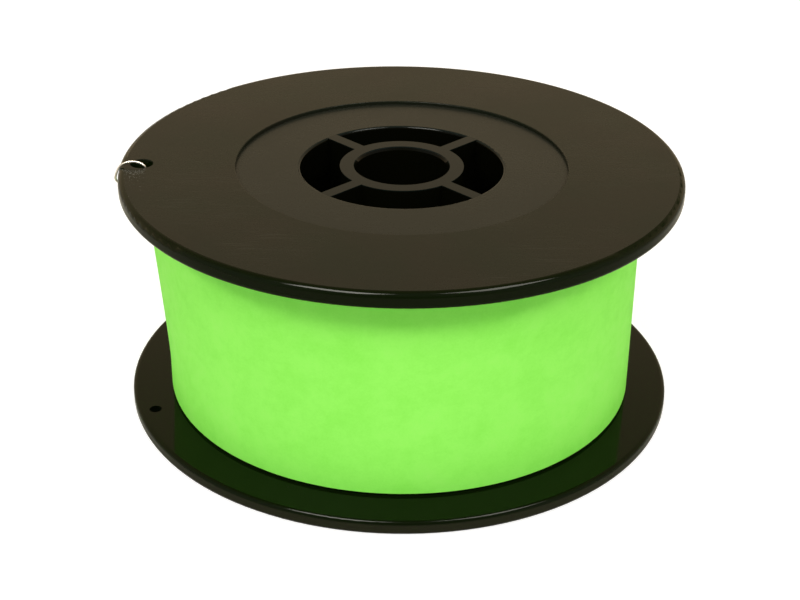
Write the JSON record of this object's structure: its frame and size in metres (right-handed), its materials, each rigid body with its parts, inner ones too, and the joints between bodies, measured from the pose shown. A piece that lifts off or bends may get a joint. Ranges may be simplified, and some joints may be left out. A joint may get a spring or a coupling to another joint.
{
  "type": "filament spool",
  "caption": "Small flanged spool of fine wire-like filament, wound full and wrapped in a paper band, its free end hooked over the rim.",
  "frame": {"origin": "centre of the lower flange's outer face, on the hub's axis", "axes": "+Z along the hub's axis, up through the spool; -X points at the wire hole in the upper flange; -Y is the front"},
  "size_m": [0.1007, 0.1, 0.0461],
  "materials": {
    "spool_plastic": "moulded black, satin outside and polished between the flanges",
    "wire_metal": "bright drawn wire",
    "band_paper": "matt green paper"
  },
  "bodies": {
    "root": {"lower_half": "spool_plastic", "upper_half": "spool_plastic", "wire_winding": "wire_metal", "wire_start": "wire_metal", "wire_tail": "wire_metal", "wrap_band": "band_paper"}
  },
  "joints": []
}
